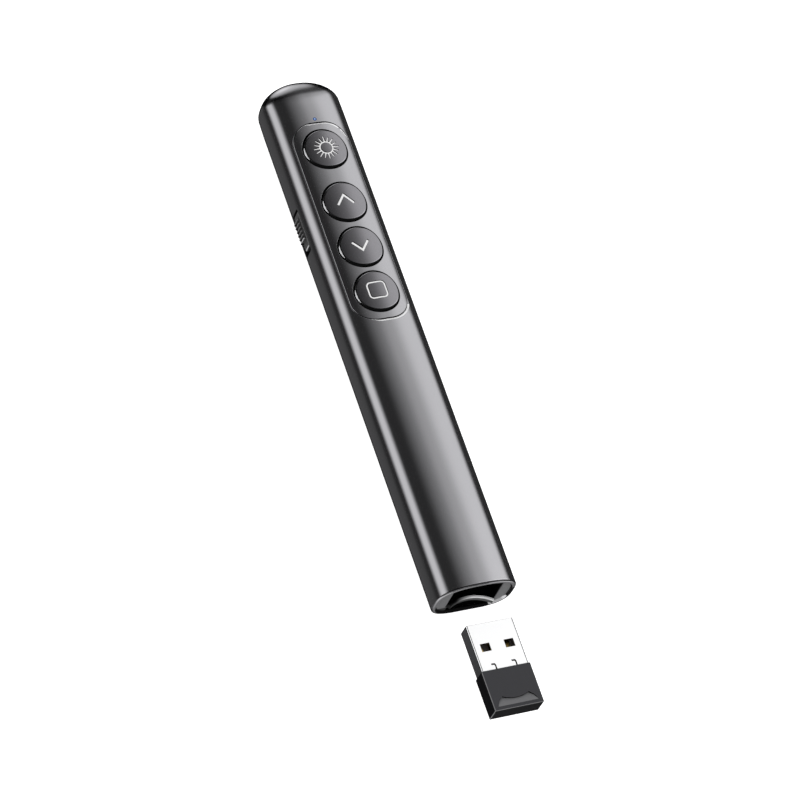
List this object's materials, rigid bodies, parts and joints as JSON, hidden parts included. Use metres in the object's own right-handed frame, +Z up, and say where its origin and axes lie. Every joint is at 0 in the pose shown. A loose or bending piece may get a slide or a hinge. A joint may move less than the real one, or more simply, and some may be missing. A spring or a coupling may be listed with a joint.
{
  "type": "wireless presentation clicker",
  "caption": "Slim metal presentation clicker with round push buttons, a ribbed power slider, a laser in its head and a USB receiver that docks in the tail.",
  "frame": {"origin": "on the plane that the clicker rests on, under the middle of the clicker and its pulled out receiver", "axes": "+X across the body to the right, +Y along the body towards the head, +Z up out of the buttons"},
  "size_m": [0.021, 0.174, 0.0148],
  "materials": {
    "gunmetal": "satin",
    "panel_metal": "satin",
    "black_plastic": "matte",
    "liner_plastic": "satin",
    "magnet_nickel": "plated",
    "button_plastic": "satin",
    "plunger_plastic": "matte",
    "switch_plastic": "matte",
    "circuit_board": "satin",
    "chip_resin": "matte",
    "contact_steel": "plated",
    "led_body": "gloss",
    "blue_light": "gloss",
    "slider_plastic": "satin",
    "cell_label": "gloss",
    "black_wire": "matte",
    "red_wire": "matte",
    "door_plastic": "satin",
    "laser_brass": "machined",
    "lens_glass": "clear",
    "window_glass": "tinted",
    "plug_steel": "bright",
    "tongue_plastic": "matte",
    "gold_contact": "plated",
    "cap_plastic": "satin"
  },
  "bodies": {
    "handset": {"sleeve": "gunmetal", "button_panel": "panel_metal", "chassis": "black_plastic", "tail_liner": "liner_plastic", "dock_magnet": "magnet_nickel", "laser_switch": "switch_plastic", "up_switch": "switch_plastic", "down_switch": "switch_plastic", "blank_switch": "switch_plastic", "main_board": "circuit_board", "radio_chip": "chip_resin", "board_crystal": "contact_steel", "status_led": "led_body", "light_pipe": "blue_light", "board_screws": "contact_steel", "slide_switch": "switch_plastic", "battery_cell": "cell_label", "battery_spring": "contact_steel", "battery_plate": "contact_steel", "battery_lead": "black_wire", "laser_barrel": "laser_brass", "laser_diode": "laser_brass", "laser_lens": "lens_glass", "laser_board": "circuit_board", "laser_leads": "red_wire", "laser_window": "window_glass"},
    "laser_key": {"laser_button": "button_plastic", "laser_plunger": "plunger_plastic"},
    "up_key": {"up_button": "button_plastic", "up_plunger": "plunger_plastic"},
    "down_key": {"down_button": "button_plastic", "down_plunger": "plunger_plastic"},
    "blank_key": {"blank_button": "button_plastic", "blank_plunger": "plunger_plastic"},
    "power_slider": {"slider_knob": "slider_plastic", "slider_lever": "plunger_plastic"},
    "door": {"battery_door": "door_plastic"},
    "receiver": {"receiver_shell": "plug_steel", "receiver_tongue": "tongue_plastic", "receiver_contacts": "gold_contact", "receiver_board": "circuit_board", "receiver_chip": "chip_resin", "receiver_cap": "cap_plastic"}
  },
  "joints": [
    {"name": "laser_press", "type": "slide", "parent": "handset", "child": "laser_key", "axis": [0, 0, -1], "range_m": [0, 0.0004], "stiffness_N_per_m": 1500},
    {"name": "up_press", "type": "slide", "parent": "handset", "child": "up_key", "axis": [0, 0, -1], "range_m": [0, 0.0004], "stiffness_N_per_m": 1500},
    {"name": "down_press", "type": "slide", "parent": "handset", "child": "down_key", "axis": [0, 0, -1], "range_m": [0, 0.0004], "stiffness_N_per_m": 1500},
    {"name": "blank_press", "type": "slide", "parent": "handset", "child": "blank_key", "axis": [0, 0, -1], "range_m": [0, 0.0004], "stiffness_N_per_m": 1500},
    {"name": "power_slide", "type": "slide", "parent": "handset", "child": "power_slider", "axis": [0, -1, 0], "range_m": [0, 0.0014]},
    {"name": "door_hinge", "type": "hinge", "parent": "handset", "child": "door", "pos_m": [0, -0.0304, 0], "axis": [-1, 0, 0], "range_deg": [0, 30]},
    {"name": "receiver_dock", "type": "slide", "parent": "handset", "child": "receiver", "axis": [0, 1, 0], "range_m": [0, 0.0305]}
  ]
}
